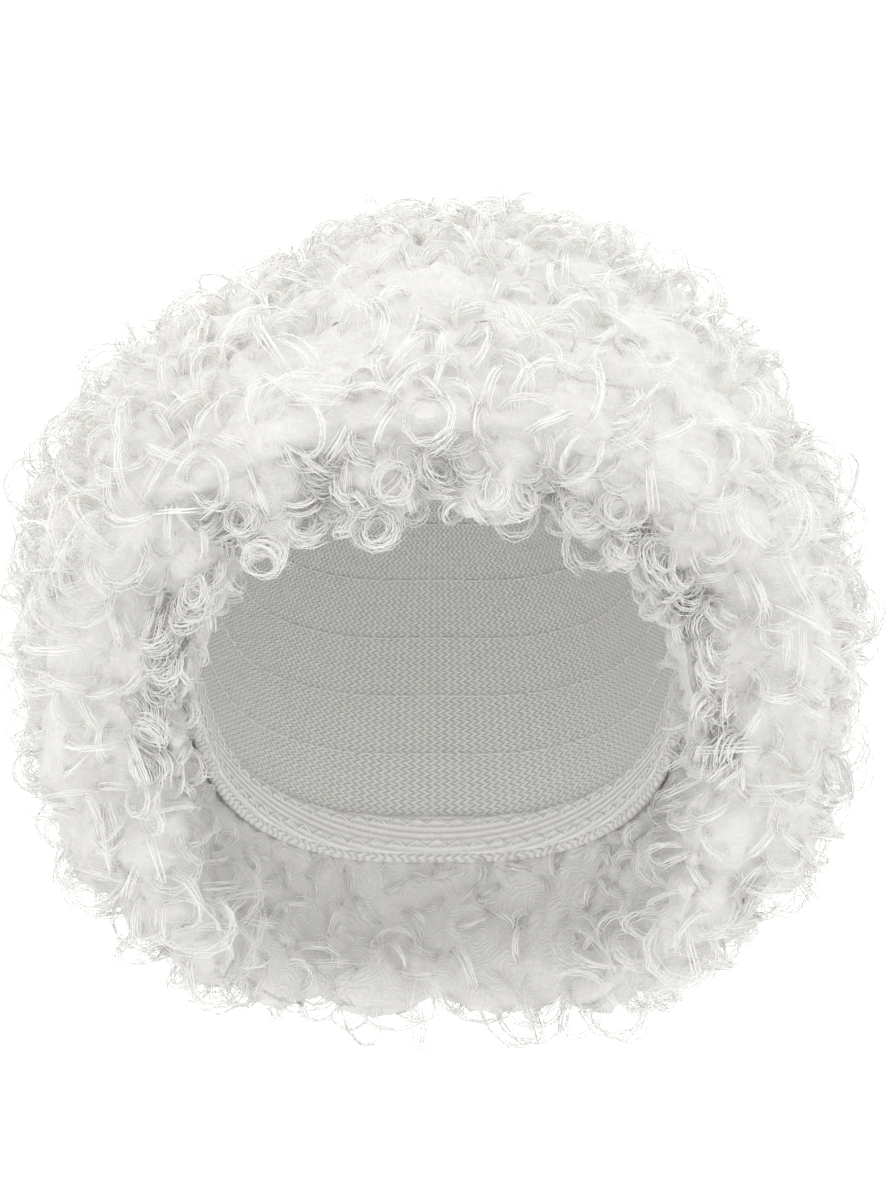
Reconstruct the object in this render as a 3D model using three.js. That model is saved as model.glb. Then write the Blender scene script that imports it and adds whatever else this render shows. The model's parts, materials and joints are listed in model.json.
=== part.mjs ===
// A curly clown wig, built as it is sewn: a knitted cap, an elastic band inside
// the cap's rim, and rows of curls fastened round the cap one below the other,
// from the whorl at the back of the crown down to the hairline.
// Millimetres, +Z up. The face looks along -Y. The origin is the top of the
// hollow, where the cap rests on the crown of the head.

import * as THREE from "three";

// Form of the head that stretches the cap
const headWidth = 156;
const headLength = 196;
const crownDepth = 100; // crown down to the widest level
const neckDepth = 181; // widest level down to where the form would close

// Knitted cap and the elastic band sewn inside its rim
const capWall = 2;
const bandWidth = 12;
const bandWall = 1.5;
const sewnGap = 0.3; // between two pieces that are sewn together

// How far the tops of the locks stand off the head
const sideHair = 53;
const browHair = 34;
const napeHair = 46;
const crownHair = 43;
const puffLift = 12; // the puff's centre above the head's widest level

// Locks
const curlRise = 11; // a lock's top above the seams round it
const lockSpread = 0.14; // share of the rise by which locks differ
const rowSeam = 0.9; // between two rows
const whorlTilt = 25; // degrees, whorl behind the vertical

// Rows of curls from the whorl down to the hairline, each with its number of
// locks, which divides rowColumns.
const rows = [
  { name: "whorl_curls", locks: 5 },
  { name: "curl_row_2", locks: 10 },
  { name: "curl_row_3", locks: 16 },
  { name: "curl_row_4", locks: 20 },
  { name: "curl_row_5", locks: 20 },
  { name: "curl_row_6", locks: 20 },
  { name: "curl_row_7", locks: 20 },
  { name: "curl_row_8", locks: 20 },
  { name: "hairline_curls", locks: 20 },
];
const rowsOnEdge = 2; // rows on the edge that rolls in to the hairline

// Share of a meridian's outer reach at which the edge starts to roll in
const rollStartShare = 0.86;
// Fullness of that roll, as a share of the straight way across it
const rollFullness = 0.5;
// Share of the cap's reach that the rows above the last one are sewn to
const rootShare = 0.93;

// Facets
const capColumns = 40;
const capRows = 8;
const rowColumns = 80;
const lockSteps = 4;
const rootSteps = 3; // under the last row, which hangs free below the rim

// Edges at angles round the whorl, from the forehead (0) to the nape (180).
// cap: the cap's rim. inside and outside: the hair's edge on the head form and
// on the puff. All are degrees down from the whorl.
const edges = [
  { at: 0, cap: 90, inside: 94, outside: 107 },
  { at: 25, cap: 90, inside: 94, outside: 108 },
  { at: 50, cap: 96, inside: 100, outside: 112 },
  { at: 68, cap: 105, inside: 110, outside: 118 },
  { at: 82, cap: 97, inside: 119, outside: 125 },
  { at: 105, cap: 96, inside: 128, outside: 133 },
  { at: 130, cap: 102, inside: 129, outside: 133 },
  { at: 155, cap: 100, inside: 119, outside: 121 },
  { at: 180, cap: 97, inside: 114, outside: 115 },
];

// The puff's outline from the front, as shares of its own ellipsoid at angles
// down from the top, on its two sides.
const outline = [
  { at: 0, minusX: 0.98, plusX: 0.98 },
  { at: 25, minusX: 0.92, plusX: 1 },
  { at: 50, minusX: 0.965, plusX: 0.975 },
  { at: 75, minusX: 1.02, plusX: 1.02 },
  { at: 100, minusX: 1.03, plusX: 1.04 },
  { at: 120, minusX: 1.09, plusX: 1.1 },
  { at: 140, minusX: 1.12, plusX: 1.11 },
  { at: 180, minusX: 1, plusX: 1 },
];

// Radians that spread the heights of neighbouring locks apart
const lockPhaseAngle = 2.4;
const rowPhaseAngle = 1.7;

// Step in radians, and in rows, over which a surface's slope is measured
const slopeAngle = 0.01;
// Guards a division and a rounding against the last digits of a number
const tiny = 1e-6;

// Halves of the puff of curls, over the tops of the locks
const puffHalfWidth = headWidth / 2 + sideHair;
const puffHalfLength = (headLength + browHair + napeHair) / 2;
const puffHalfHeight = crownHair + crownDepth - puffLift;

const rowCount = rows.length;
const rowsOnPuff = rowCount - rowsOnEdge;
const headCentre = new THREE.Vector3(0, 0, -crownDepth);
const puffCentre = new THREE.Vector3(0, (napeHair - browHair) / 2, puffLift - crownDepth);
const tilt = THREE.MathUtils.degToRad(whorlTilt);
const whorlAxis = new THREE.Vector3(0, Math.sin(tilt), Math.cos(tilt));
const whorlFront = new THREE.Vector3(0, -Math.cos(tilt), Math.sin(tilt));
const whorlSide = new THREE.Vector3(1, 0, 0);

// Reads a column of a table at x, on a smooth curve that is level at both ends.
function read(table, column, x) {
  const last = table.length - 1;
  let i = 1;
  while (i < last && table[i].at < x) i++;
  const slope = (k) =>
    k === 0 || k === last
      ? 0
      : (table[k + 1][column] - table[k - 1][column]) /
        (table[k + 1].at - table[k - 1].at);
  const width = table[i].at - table[i - 1].at;
  const t = (x - table[i - 1].at) / width;
  const ease = t * t * (3 - 2 * t);
  return (
    table[i - 1][column] * (1 - ease) +
    table[i][column] * ease +
    slope(i - 1) * width * t * (1 - t) * (1 - t) -
    slope(i) * width * t * t * (1 - t)
  );
}

// An edge's angle down from the whorl, in radians, at a turn round it.
function edgeAngle(column, turn) {
  const degrees = Math.abs(THREE.MathUtils.radToDeg(turn));
  const round = degrees > 180 ? 360 - degrees : degrees;
  return THREE.MathUtils.degToRad(read(edges, column, round));
}

// The direction at a turn round the whorl and an angle down from it.
function direction(turn, down) {
  return new THREE.Vector3()
    .addScaledVector(whorlFront, Math.sin(down) * Math.cos(turn))
    .addScaledVector(whorlSide, Math.sin(down) * Math.sin(turn))
    .addScaledVector(whorlAxis, Math.cos(down));
}

// A point on the head form, grown outwards by clearance.
function headPoint(turn, down, clearance) {
  const way = direction(turn, down);
  const depth = way.z < 0 ? neckDepth : crownDepth;
  const stretch = Math.hypot(
    way.x / (headWidth / 2 + clearance),
    way.y / (headLength / 2 + clearance),
    way.z / (depth + clearance),
  );
  return way.divideScalar(stretch).add(headCentre);
}

// A point on the puff, at the level of the seams between the locks.
function puffPoint(turn, down) {
  const way = direction(turn, down);
  const fromTop = THREE.MathUtils.radToDeg(Math.acos(way.z));
  const across = (1 + way.x / Math.max(Math.hypot(way.x, way.y), tiny)) / 2;
  const share = THREE.MathUtils.lerp(
    read(outline, "minusX", fromTop),
    read(outline, "plusX", fromTop),
    across,
  );
  const stretch = Math.hypot(
    way.x / (puffHalfWidth - curlRise),
    way.y / (puffHalfLength - curlRise),
    way.z / (puffHalfHeight - curlRise),
  );
  return way.multiplyScalar(share / stretch).add(puffCentre);
}

// The roots' facets lie this much inside the surface that their corners are on.
const rootStep = edgeAngle("cap", 0) / rowCount;
const facetSag = (headLength / 2) * (1 - Math.cos(rootStep / 2));
const rootClearance = capWall + sewnGap + facetSag;

// A point on the hair's visible skin. row counts from 0 at the whorl to
// rowCount where the rolled edge meets the head.
function skinPoint(turn, row) {
  const start = edgeAngle("outside", turn) * rollStartShare;
  if (row <= rowsOnPuff) return puffPoint(turn, (start * row) / rowsOnPuff);
  const from = puffPoint(turn, start);
  const to = headPoint(turn, edgeAngle("inside", turn), rootClearance);
  const reach = from.distanceTo(to) * rollFullness;
  const along = puffPoint(turn, start + slopeAngle).sub(from).normalize();
  const outwards = to.clone().sub(headCentre).normalize();
  const roll = new THREE.CubicBezierCurve3(
    from,
    from.clone().addScaledVector(along, reach),
    to.clone().addScaledVector(outwards, reach),
    to,
  );
  return roll.getPoint(Math.min((row - rowsOnPuff) / rowsOnEdge, 1));
}

// A point on the hair's roots, which lie on the cap. The last row's roots run
// on past the cap's rim to the hair's inside edge.
function rootPoint(turn, row) {
  const sewn = edgeAngle("cap", turn) * rootShare;
  const aboveLast = rowCount - 1;
  const beyond = row - aboveLast;
  const down =
    beyond <= 0
      ? (sewn * row) / aboveLast
      : THREE.MathUtils.lerp(sewn, edgeAngle("inside", turn), beyond);
  return headPoint(turn, down, rootClearance);
}

// The row value that lies distance further along a surface.
function shifted(pointAt, turn, row, distance) {
  const ahead = pointAt(turn, row + slopeAngle);
  return row + (distance * slopeAngle) / pointAt(turn, row).distanceTo(ahead);
}

// The way a lock bulges out of the skin.
function outwards(turn, row) {
  const downwards = skinPoint(turn, row + slopeAngle).sub(
    skinPoint(turn, row - slopeAngle),
  );
  const sideways = skinPoint(turn + slopeAngle, row).sub(
    skinPoint(turn - slopeAngle, row),
  );
  return downwards.cross(sideways).normalize();
}

// Height of a round swelling, 0 at both ends of the span from 0 to 1.
function swelling(t) {
  return Math.sqrt(Math.max(1 - (2 * t - 1) ** 2, 0));
}

// Joins rings of points into one closed skin. A ring of one point is a pole.
// Each quad is folded along its shorter diagonal.
function loft(rings, cyclic) {
  const firsts = [];
  const corners = [];
  for (const ring of rings) {
    firsts.push(corners.length);
    corners.push(...ring);
  }
  const corner = (ring, i) => firsts[ring] + (i % rings[ring].length);
  const span = (from, to) => corners[from].distanceTo(corners[to]);
  const columns = Math.max(...rings.map((ring) => ring.length));
  const faces = [];
  for (let ring = 0; ring < rings.length - (cyclic ? 0 : 1); ring++) {
    const next = (ring + 1) % rings.length;
    for (let i = 0; i < columns; i++) {
      const [a, b] = [corner(ring, i), corner(ring, i + 1)];
      const [d, c] = [corner(next, i), corner(next, i + 1)];
      if (a === b) faces.push(a, d, c);
      else if (c === d) faces.push(a, c, b);
      else if (span(a, c) <= span(b, d)) faces.push(a, d, c, a, c, b);
      else faces.push(a, d, b, b, d, c);
    }
  }
  const geometry = new THREE.BufferGeometry().setFromPoints(corners);
  geometry.setIndex(faces);
  geometry.computeVertexNormals();
  return geometry;
}

// A ring of points, one for each of count turns round the whorl.
function ringOf(count, pointAt) {
  return Array.from({ length: count }, (_, i) => pointAt((i * 2 * Math.PI) / count));
}

// The angle down from the whorl at which the band's upper edge lies.
function bandTop(turn) {
  const rim = edgeAngle("cap", turn);
  const radius = headPoint(turn, rim, 0).distanceTo(headCentre);
  return rim - bandWidth / radius;
}

// Rings of the cap's surface from below the pole to the rim. The last step is
// the band's width, so that the band's facets lie flat against the cap's.
function capRings(clearance) {
  return Array.from({ length: capRows + 1 }, (_, k) =>
    ringOf(capColumns, (turn) => {
      const down =
        k < capRows ? (bandTop(turn) * (k + 1)) / capRows : edgeAngle("cap", turn);
      return headPoint(turn, down, clearance);
    }),
  );
}

function capGeometry() {
  return loft(
    [
      [headPoint(0, 0, capWall)],
      ...capRings(capWall),
      ...capRings(0).reverse(),
      [headPoint(0, 0, 0)],
    ],
    false,
  );
}

function bandGeometry() {
  const edge = (angle, clearance) =>
    ringOf(capColumns, (turn) => headPoint(turn, angle(turn), clearance));
  const rim = (turn) => edgeAngle("cap", turn);
  const outer = -sewnGap;
  const inner = outer - bandWall;
  return loft(
    [edge(bandTop, outer), edge(rim, outer), edge(rim, inner), edge(bandTop, inner)],
    true,
  );
}

// One row: its roots on the cap, and locks fused side by side that swell out
// between the seams. No two neighbours are quite as tall.
function rowGeometry(row) {
  const locks = rows[row].locks;
  const whorl = row === 0;
  const hairline = row === rowCount - 1;
  // Every second row is turned by half a lock.
  const start = row % 2 ? 0.5 : 0;

  // A row value between the row's two seams, on the skin or on the roots.
  const between = (pointAt, turn, share) => {
    const top = whorl ? 0 : shifted(pointAt, turn, row, rowSeam / 2);
    const bottom = hairline
      ? rowCount
      : shifted(pointAt, turn, row + 1, -rowSeam / 2);
    return THREE.MathUtils.lerp(top, bottom, share);
  };
  const rise = (turn, share) => {
    const place = (turn / (2 * Math.PI)) * locks + start;
    const lock = Math.floor(place + tiny);
    const uneven = Math.sin(lockPhaseAngle * lock + rowPhaseAngle * row);
    const height = 1 - lockSpread + lockSpread * uneven;
    const round = swelling(place - lock);
    if (!whorl) return curlRise * height * round * swelling(share);
    const parted = THREE.MathUtils.lerp(1, height * round, share);
    return curlRise * parted * swelling((1 + share) / 2);
  };
  const skinRing = (share) =>
    ringOf(rowColumns, (turn) => {
      const at = between(skinPoint, turn, share);
      const height = rise(turn, share);
      const base = skinPoint(turn, at);
      return height > 0 ? base.addScaledVector(outwards(turn, at), height) : base;
    });
  const rootRing = (share) =>
    ringOf(rowColumns, (turn) => rootPoint(turn, between(rootPoint, turn, share)));

  const skin = Array.from({ length: lockSteps }, (_, i) => skinRing((i + 1) / lockSteps));
  if (whorl) {
    const crown = puffPoint(0, 0);
    const top = crown.clone().addScaledVector(whorlAxis, curlRise);
    return loft([[top], ...skin, rootRing(1), [rootPoint(0, 0)]], false);
  }
  const roots = hairline
    ? Array.from({ length: rootSteps }, (_, i) => rootRing(1 - (i + 1) / rootSteps))
    : [rootRing(1), rootRing(0)];
  return loft([skinRing(0), ...skin, ...roots], true);
}

const knit = new THREE.MeshStandardMaterial({
  color: 0xe9e6df,
  roughness: 0.9,
  metalness: 0,
});
const elastic = new THREE.MeshStandardMaterial({
  color: 0xf1efea,
  roughness: 0.75,
  metalness: 0,
});
const curl = new THREE.MeshStandardMaterial({
  color: 0xe8e5df,
  roughness: 0.6,
  metalness: 0,
});

function piece(name, geometry, material) {
  const mesh = new THREE.Mesh(geometry, material);
  mesh.name = name;
  return mesh;
}

const wig = new THREE.Group();
wig.add(piece("cap", capGeometry(), knit));
wig.add(piece("rim_band", bandGeometry(), elastic));
rows.forEach(({ name }, row) => wig.add(piece(name, rowGeometry(row), curl)));

export default wig;
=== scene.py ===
"""Dresses a packed curly clown wig: cap, elastic band, stitches and rows of curls."""

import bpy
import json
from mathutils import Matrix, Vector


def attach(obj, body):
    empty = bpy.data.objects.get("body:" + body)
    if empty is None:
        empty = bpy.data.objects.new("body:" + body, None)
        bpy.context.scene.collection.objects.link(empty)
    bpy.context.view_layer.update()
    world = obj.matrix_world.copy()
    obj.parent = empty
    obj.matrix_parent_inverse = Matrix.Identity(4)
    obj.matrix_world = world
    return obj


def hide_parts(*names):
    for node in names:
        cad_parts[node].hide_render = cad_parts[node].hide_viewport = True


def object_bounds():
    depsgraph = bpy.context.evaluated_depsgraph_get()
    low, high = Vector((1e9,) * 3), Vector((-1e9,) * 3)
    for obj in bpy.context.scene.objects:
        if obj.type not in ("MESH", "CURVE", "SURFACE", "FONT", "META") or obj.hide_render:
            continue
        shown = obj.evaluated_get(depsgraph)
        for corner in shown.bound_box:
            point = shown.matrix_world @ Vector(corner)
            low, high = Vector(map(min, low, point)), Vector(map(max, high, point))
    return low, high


bl_info = {
    "name": "Curly Clown Wig",
    "version": (1, 0, 0),
    "blender": (4, 5, 0),
    "location": "View3D > Sidebar > Clown Wig",
    "description": "A knitted cap with an elastic rim and rows of springy white curls",
    "category": "Object",
}

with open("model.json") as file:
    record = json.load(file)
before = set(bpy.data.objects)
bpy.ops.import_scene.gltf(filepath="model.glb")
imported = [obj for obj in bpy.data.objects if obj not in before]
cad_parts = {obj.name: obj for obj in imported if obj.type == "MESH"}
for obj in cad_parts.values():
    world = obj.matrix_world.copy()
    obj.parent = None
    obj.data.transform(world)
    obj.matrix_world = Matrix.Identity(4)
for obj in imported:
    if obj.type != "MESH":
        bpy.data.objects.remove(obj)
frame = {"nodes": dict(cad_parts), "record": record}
CAD_BOX = [list(corner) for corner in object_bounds()]

import json
import math

import bmesh
import bpy
import numpy as np
from bpy.props import FloatProperty, FloatVectorProperty, IntProperty, PointerProperty
from mathutils import Vector, noise
from mathutils.bvhtree import BVHTree
from mathutils.kdtree import KDTree

BODY = "root"
CAP_NODE = "cap"
BAND_NODE = "rim_band"
ROW_NODES = [
    part["node"]
    for part in frame["record"]["subparts"]
    if part["material_slot"] == "curls"
]

# The picture's size in pixels, and where the crown of the cap lies in it
PICTURE_WIDTH = 889
PICTURE_HEIGHT = 1200
CROWN_X = 437
CROWN_Y = 325
SENSOR = 0.036

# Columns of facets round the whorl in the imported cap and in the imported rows
CAP_COLUMNS = 40
ROW_COLUMNS = 80

# Marks on the faces of a row that show: its outside, and its roots below the cap
OUTSIDE = 1
FREE_ROOT = 2

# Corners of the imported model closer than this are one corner
WELD = 1e-5

# A row is sewn to the cap where its corners are closer to it than this
SEWN = 0.002

# An angle down from the whorl that is only just past an edge
SLIGHT = 0.01

# How a row's fluff is cut, softened and tufted
FLUFF_CUTS = 3
FLUFF_SOFTENINGS = 6
TUFTS_IN_METRE = 110
CLUMPS_IN_METRE = 32

# How far round a place the faces count for the way out of it, and for the height of its tops
WAY_REACH = 0.018
TOP_REACH = 0.012

# A face that is higher than another by this counts about three times as much
TOP_STEP = 0.003

# The hollows are filled from here on from the roots that hang free, and fully past the fade
FILL_START = 0.006
FILL_FADE = 0.018

# Places that are measured at once
BATCH = 2000

# The way that the fringe hangs, and how close to the row above it begins, as a share of its depth
FRINGE_WAY = Vector((0, -0.2, -1))
FRINGE_START = 0.4

# How far off the hair's edge a ringlet hangs, how high or low as shares of its drop, and how it leans
RINGLET_OFF = (0.001, 0.011)
RINGLET_FALL = (-0.4, 1)
RINGLET_LEAN = (-0.6, 0.6)

# Facets of the cap and the band that meet at less than this are joined to one, in radians
FLAT = 0.7

# Radius of the band's soft edges
BAND_EDGE = 0.0004

# Share of the hem's radius by which it stands out from the cap's inside
HEM_STAND = 0.6

# Distance between the starts of two stitches, in stitches, and how deep a thread lies, in threads
STITCH_STEP = 1.3
THREAD_DEPTH = 0.25

# Where the zigzag's two lines lie across the band, and how far they swing, as shares of its width
ZIGZAG_LINES = (0.2, 0.8)
ZIGZAG_SWING = 0.1


def corners(node):
    """A node's corners as an array of points."""
    mesh = frame["nodes"][node].data
    points = np.empty(len(mesh.vertices) * 3)
    mesh.vertices.foreach_get("co", points)
    return points.reshape(-1, 3)


def solid_copy(node):
    """A node's solid as a bmesh with its corners welded."""
    bm = bmesh.new()
    bm.from_mesh(frame["nodes"][node].data)
    bmesh.ops.remove_doubles(bm, verts=bm.verts, dist=WELD)
    return bm


def surface_of(node):
    """A node's surface, for finding the nearest point on it."""
    bm = solid_copy(node)
    tree = BVHTree.FromBMesh(bm)
    bm.free()
    return tree


def cap_poles():
    """The two points where the cap's facets meet at the whorl, inside and outside."""
    bm = solid_copy(CAP_NODE)
    poles = sorted(bm.verts, key=lambda vert: -len(vert.link_faces))[:2]
    places = sorted((vert.co.copy() for vert in poles), key=lambda place: place.z)
    bm.free()
    return places


CAP_SURFACE = surface_of(CAP_NODE)
PUFF_CENTRE = (Vector(CAD_BOX[0]) + Vector(CAD_BOX[1])) / 2
INNER_POLE, OUTER_POLE = cap_poles()
WHORL_AXIS = (OUTER_POLE - INNER_POLE).normalized()
WHORL_SIDE = Vector((1, 0, 0))
WHORL_FRONT = WHORL_SIDE.cross(WHORL_AXIS).normalized()
# The middle of the head, under the crown and on the whorl's axis
HEAD_CENTRE = INNER_POLE - WHORL_AXIS * (INNER_POLE.y / WHORL_AXIS.y)
HEAD_RADIUS = float(corners(CAP_NODE)[:, 0].max())


def an_amount(name, description, default, **extra):
    """A setting that is a plain amount, or one whose unit or subtype is given."""
    return FloatProperty(name=name, description=description, default=default, **extra)


def a_length(name, description, default, **extra):
    """A setting that is a length."""
    return an_amount(name, description, default, unit="LENGTH", **extra)


def a_number(name, description, default, **extra):
    """A setting that is a whole number."""
    return IntProperty(name=name, description=description, default=default, **extra)


def a_colour(name, description, default):
    """A setting that is a colour."""
    return FloatVectorProperty(
        name=name, description=description, default=default, subtype="COLOR", size=4
    )


class WigCurlSettings(bpy.types.PropertyGroup):
    """Sizes and colours of the curls."""

    spacing: a_length("Curl spacing", "Least distance between two curls", 0.0074, min=0.004)
    fibres: a_number("Fibres in a curl", "Fibres that run side by side in each curl", 7, min=1)
    loop_radius: a_length("Loop radius", "Radius of a large curl's loop", 0.0118)
    loop_turns: an_amount("Turns", "Turns that a fibre makes in its curl", 1.15)
    loop_pitch: a_length("Pitch", "How far a curl rises over its turns", 0.005)
    stir: a_length("Stir", "How far a fibre strays from an even curl", 0.0028)
    ringlets: a_number("Ringlets", "Ringlets in each short stretch of the hair's edge", 3)
    ringlet_radius: a_length("Ringlet radius", "Radius of a ringlet over the brow", 0.0055)
    ringlet_turns: an_amount("Ringlet turns", "Turns in a ringlet", 1.7)
    ringlet_drop: a_length("Ringlet drop", "How far a ringlet hangs below the hair's edge", 0.013)
    fringe_depth: a_length(
        "Fringe depth", "Distance from the hair's edge within which the fringe hangs lower", 0.022
    )
    fringe_drop: a_length("Fringe drop", "How much lower the fringe hangs over the brow", 0.009)
    fringe_end: a_length("Fringe end", "How far back the ringlets reach on the temples", -0.03)
    fibre_width: a_length("Fibre width", "Thickness of a fibre", 0.00032)
    sink: a_length(
        "Sink", "How far the fluff under the curls lies inside the tops of the locks", 0.0035
    )
    fill: an_amount(
        "Fill", "Share of the hollow between two locks that their fluff fills", 0.88, min=0, max=1
    )
    seam: a_length("Seam", "How far the fluff reaches over the seam to the next row", 0.0022)
    seam_dip: a_length("Seam dip", "How far the fluff's edge dips under the next row's", 0.0009)
    tuck: a_length("Tuck", "How far the hair below the cap's rim is drawn in under it", 0.003)
    tuck_reach: a_length(
        "Tuck reach", "Distance below the cap's rim within which the hair is drawn in", 0.009
    )
    seam_reach: a_length(
        "Seam reach", "Distance from a seam within which the curls are dense", 0.006
    )
    thin: an_amount(
        "Curls between seams",
        "Share of the curls that is kept away from the seams",
        0.78,
        min=0,
        max=1,
    )
    clump: a_length("Clump height", "How much clumps of curls stand up or lie low", 0.0036)
    near_face: a_length(
        "Depth of small curls", "Distance from the cap within which the curls are smaller", 0.035
    )
    small: an_amount(
        "Small curls", "Size of the curls beside the face, as a share of the large ones", 0.45
    )
    tuft: a_length("Tuft height", "Height of the tufts on the fluff", 0.0017)
    seed: a_number("Seed", "Which random lie the curls have", 11)
    # The fluff's colour is painted shade: darker than the fibres, which are all one white, to stand
    # for the shade deep among the fibres of a lock.
    fluff: a_colour("Fluff shade", "Colour of the mass of fibres inside the locks", (0.65, 0.64, 0.62, 1))
    bright: a_colour("Bright fibre", "Colour of the whitest fibres", (0.98, 0.97, 0.945, 1))
    dull: a_colour("Dull fibre", "Colour of the dullest fibres", (0.94, 0.93, 0.9, 1))


class WigCapSettings(bpy.types.PropertyGroup):
    """Sizes and colours of the cap, the band and their stitches."""

    knit_pitch: a_length("Knit pitch", "Width of one column of knitting", 0.0022)
    rib_pitch: a_length("Rib pitch", "Width of one rib along the elastic band", 0.0016)
    stitch_length: a_length("Stitch length", "Length of one stitch of thread", 0.0042)
    zigzag: a_length(
        "Zigzag step", "Distance along the band between two points of its zigzag seam", 0.0026
    )
    hem: a_length("Hem", "Radius of the rolled hem along the cap's rim", 0.002)
    thread: a_length("Thread width", "Thickness of the sewing thread", 0.0006)
    knit: a_colour("Knit", "Colour of the knitted cap", (0.86, 0.85, 0.82, 1))
    elastic: a_colour("Elastic", "Colour of the elastic band", (0.9, 0.89, 0.87, 1))


class WigStageSettings(bpy.types.PropertyGroup):
    """Where the camera, the lights and the floor are."""

    elevation: an_amount(
        "Camera elevation",
        "How far above the wig's level the camera stands",
        math.radians(-8),
        subtype="ANGLE",
    )
    distance: a_length("Camera distance", "From the camera to the crown, along its view", 1.6)
    picture_rise: a_length(
        "Picture height", "Real height that the picture spans at the crown", 0.375
    )
    floor_drop: a_length("Floor drop", "How far the floor lies below the crown", 0.9)
    floor_span: a_length("Floor span", "Width of the floor", 14.0)
    sky: an_amount("Room light", "Strength of the even light from all round", 1.36)
    key: an_amount("Key light", "Power of the large light in front", 1.5, unit="POWER")


class NodeWriter:
    """Adds nodes to a tree, each with its inputs given as values or as other nodes' outputs."""

    def __init__(self, tree):
        self.tree = tree

    def add(self, kind, inputs=None, **settings):
        node = self.tree.nodes.new(kind)
        for name, value in settings.items():
            setattr(node, name, value)
        for key, value in (inputs or {}).items():
            self.put(node.inputs[key], value)
        return node

    def put(self, socket, value):
        """Gives an input a value, or links another node's output to it."""
        if isinstance(value, bpy.types.NodeSocket):
            self.tree.links.new(value, socket)
        else:
            socket.default_value = value

    def math(self, operation, *values):
        return self.add("ShaderNodeMath", dict(enumerate(values)), operation=operation).outputs[0]

    def noise(self, place, scale, detail):
        return self.add("ShaderNodeTexNoise", {"Vector": place, "Scale": scale, "Detail": detail})

    def position(self):
        return self.add("GeometryNodeInputPosition").outputs[0]

    def combine(self, **parts):
        return self.add("ShaderNodeCombineXYZ", parts).outputs[0]

    def vector(self, operation, *values):
        node = self.add("ShaderNodeVectorMath", operation=operation)
        for socket, value in zip(node.inputs, values):
            self.put(socket, value)
        return node.outputs[0]

    def stray(self, place, scale, detail, reach):
        """A small move at each place, which changes smoothly from place to place."""
        swirl = self.noise(place, scale, detail).outputs["Color"]
        way = self.vector("SCALE", self.vector("SUBTRACT", swirl, (0.5, 0.5, 0.5)))
        self.put(way.node.inputs["Scale"], reach)
        return way

    def any_float(self, low, high, seed):
        """A random number for each element."""
        node = self.add("FunctionNodeRandomValue", data_type="FLOAT")
        node.inputs[2].default_value = low
        node.inputs[3].default_value = high
        self.put(node.inputs["Seed"], seed)
        return node.outputs[1]

    def any_vector(self, low, high, seed):
        """A random vector for each element."""
        node = self.add("FunctionNodeRandomValue", data_type="FLOAT_VECTOR")
        node.inputs[0].default_value = low
        node.inputs[1].default_value = high
        self.put(node.inputs["Seed"], seed)
        return node.outputs[0]

    def rotated(self, rotation, angles):
        """A rotation turned further by Euler angles in its own frame."""
        further = self.add("FunctionNodeEulerToRotation", {0: angles}).outputs[0]
        node = self.add(
            "FunctionNodeRotateRotation",
            {"Rotation": rotation, "Rotate By": further},
            rotation_space="LOCAL",
        )
        return node.outputs[0]

    def store(self, geometry, name, value, data_type="FLOAT"):
        """Keeps a value on each point under a name."""
        node = self.add(
            "GeometryNodeStoreNamedAttribute",
            {"Geometry": geometry, "Name": name},
            data_type=data_type,
            domain="POINT",
        )
        self.put(node.inputs["Value"], value)
        return node.outputs["Geometry"]

    def named(self, name, data_type="FLOAT"):
        """A value kept under a name."""
        node = self.add("GeometryNodeInputNamedAttribute", {"Name": name}, data_type=data_type)
        return node.outputs["Attribute"]


def geometry_tree(name, sockets):
    """An empty geometry tree with named inputs, and its writer and input node."""
    tree = bpy.data.node_groups.new(name, "GeometryNodeTree")
    tree.interface.new_socket("Geometry", in_out="INPUT", socket_type="NodeSocketGeometry")
    for label, kind in sockets:
        tree.interface.new_socket(label, in_out="INPUT", socket_type=kind)
    tree.interface.new_socket("Geometry", in_out="OUTPUT", socket_type="NodeSocketGeometry")
    writer = NodeWriter(tree)
    return tree, writer, writer.add("NodeGroupInput")


def run_tree(obj, tree, values):
    """Runs a geometry tree on an object and keeps what it makes as the object's plain mesh."""
    modifier = obj.modifiers.new(tree.name, "NODES")
    modifier.node_group = tree
    for item in tree.interface.items_tree:
        if item.in_out == "INPUT" and item.name in values:
            modifier[item.identifier] = values[item.name]
    keep_result(obj)


def keep_result(obj):
    """Applies every modifier of an object."""
    evaluated = obj.evaluated_get(bpy.context.evaluated_depsgraph_get())
    mesh = bpy.data.meshes.new_from_object(evaluated)
    mesh.name = obj.name
    obj.modifiers.clear()
    obj.data = mesh


def new_object(name, mesh):
    """A mesh object in the scene."""
    obj = bpy.data.objects.new(name, mesh)
    bpy.context.scene.collection.objects.link(obj)
    return obj


def mesh_of(bm, name):
    """A mesh made of a bmesh, which is freed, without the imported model's own normals."""
    mesh = bpy.data.meshes.new(name)
    bm.to_mesh(mesh)
    bm.free()
    packed = mesh.attributes.get("custom_normal")
    if packed:
        mesh.attributes.remove(packed)
    return mesh


def smooth_faces(mesh):
    """Shades every face of a mesh smoothly."""
    mesh.polygons.foreach_set("use_smooth", [True] * len(mesh.polygons))


def smooth_skin(mesh):
    """Shades a row's fibres and the faces that show smoothly, and its hidden faces flat."""
    material = np.empty(len(mesh.polygons), dtype=np.int32)
    skin = np.empty(len(mesh.polygons), dtype=np.int32)
    mesh.polygons.foreach_get("material_index", material)
    mesh.attributes["skin"].data.foreach_get("value", skin)
    fibre = material == len(mesh.materials) - 1
    mesh.polygons.foreach_set("use_smooth", (fibre | (skin > 0)).tolist())


def finish_piece(obj, slot, *nodes):
    """Makes a finished piece ride on the wig in place of its CAD nodes."""
    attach(obj, BODY)
    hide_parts(*nodes)


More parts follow.
